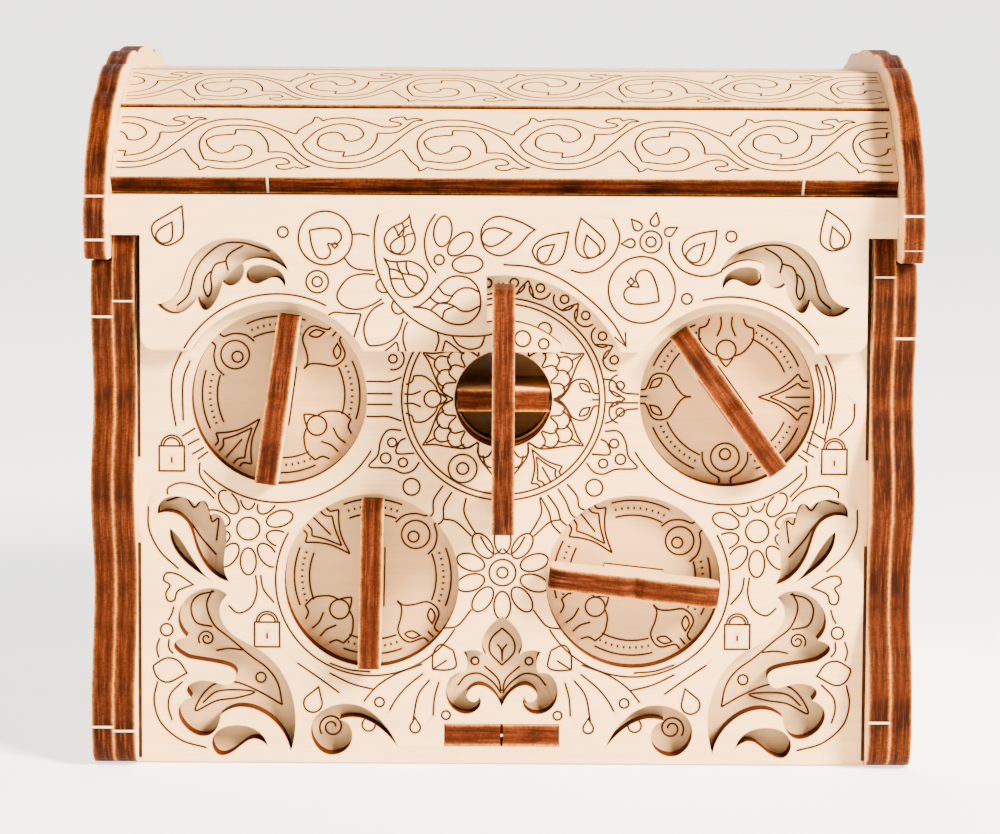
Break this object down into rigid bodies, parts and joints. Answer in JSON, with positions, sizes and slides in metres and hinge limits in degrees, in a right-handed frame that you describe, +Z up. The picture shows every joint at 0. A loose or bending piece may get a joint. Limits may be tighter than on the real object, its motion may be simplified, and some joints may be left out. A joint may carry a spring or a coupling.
{
  "type": "treasure chest puzzle box",
  "caption": "Plywood treasure-chest puzzle box: dials turn code wheels that free a central key, whose hook holds the hinged lid.",
  "frame": {"origin": "centre of the bounding box's bottom face, on the table", "axes": "+X to the chest's right seen from the front, +Y to its back, +Z up"},
  "size_m": [0.114, 0.1057, 0.0997],
  "materials": {
    "birch_plywood": "bare laser-cut birch plywood with charred edges and engraved lines",
    "dowel": "bare birch dowel"
  },
  "bodies": {
    "case": {"back_panel": "birch_plywood", "backing_panel": "birch_plywood", "bearing_plate": "birch_plywood", "bottom_panel": "birch_plywood", "compartment_wall": "birch_plywood", "front_panel": "birch_plywood", "inner_side_left": "birch_plywood", "inner_side_right": "birch_plywood", "outer_side_left": "birch_plywood", "outer_side_right": "birch_plywood", "rear_bearing_plate": "birch_plywood"},
    "lid": {"hinge_pin_left": "dowel", "hinge_pin_right": "dowel", "lid_back": "birch_plywood", "lid_end_left": "birch_plywood", "lid_end_right": "birch_plywood", "lid_flap": "birch_plywood", "lid_front_lower_plank": "birch_plywood", "lid_front_upper_plank": "birch_plywood", "lid_rear_lower_plank": "birch_plywood", "lid_rear_upper_plank": "birch_plywood", "lid_top_plank": "birch_plywood"},
    "key": {"cross_plate": "birch_plywood", "key_plate": "birch_plywood", "key_wedge": "birch_plywood", "rotor": "birch_plywood"},
    "upper_left_dial": {"upper_left_code_wheel": "birch_plywood", "upper_left_disc": "birch_plywood", "upper_left_grip": "birch_plywood", "upper_left_wedge": "birch_plywood"},
    "upper_right_dial": {"upper_right_code_wheel": "birch_plywood", "upper_right_disc": "birch_plywood", "upper_right_grip": "birch_plywood", "upper_right_wedge": "birch_plywood"},
    "lower_left_dial": {"lower_left_code_wheel": "birch_plywood", "lower_left_disc": "birch_plywood", "lower_left_grip": "birch_plywood", "lower_left_wedge": "birch_plywood"},
    "lower_right_dial": {"lower_right_code_wheel": "birch_plywood", "lower_right_disc": "birch_plywood", "lower_right_grip": "birch_plywood", "lower_right_wedge": "birch_plywood"}
  },
  "joints": [
    {"name": "lid_hinge", "type": "hinge", "parent": "case", "child": "lid", "pos_m": [0, 0.04753, 0.0752], "axis": [-1, 0, 0], "range_deg": [0, 90]},
    {"name": "key_turn", "type": "hinge", "parent": "case", "child": "key", "pos_m": [0, -0.03597, 0.0513], "axis": [0, -1, 0], "range_deg": [0, 180]},
    {"name": "upper_left_dial_turn", "type": "hinge", "parent": "case", "child": "upper_left_dial", "pos_m": [-0.03105, -0.03597, 0.0514], "axis": [0, -1, 0], "continuous": true},
    {"name": "upper_right_dial_turn", "type": "hinge", "parent": "case", "child": "upper_right_dial", "pos_m": [0.03105, -0.03597, 0.0514], "axis": [0, -1, 0], "continuous": true},
    {"name": "lower_left_dial_turn", "type": "hinge", "parent": "case", "child": "lower_left_dial", "pos_m": [-0.0182, -0.03597, 0.02575], "axis": [0, -1, 0], "continuous": true},
    {"name": "lower_right_dial_turn", "type": "hinge", "parent": "case", "child": "lower_right_dial", "pos_m": [0.0182, -0.03597, 0.02575], "axis": [0, -1, 0], "continuous": true}
  ]
}
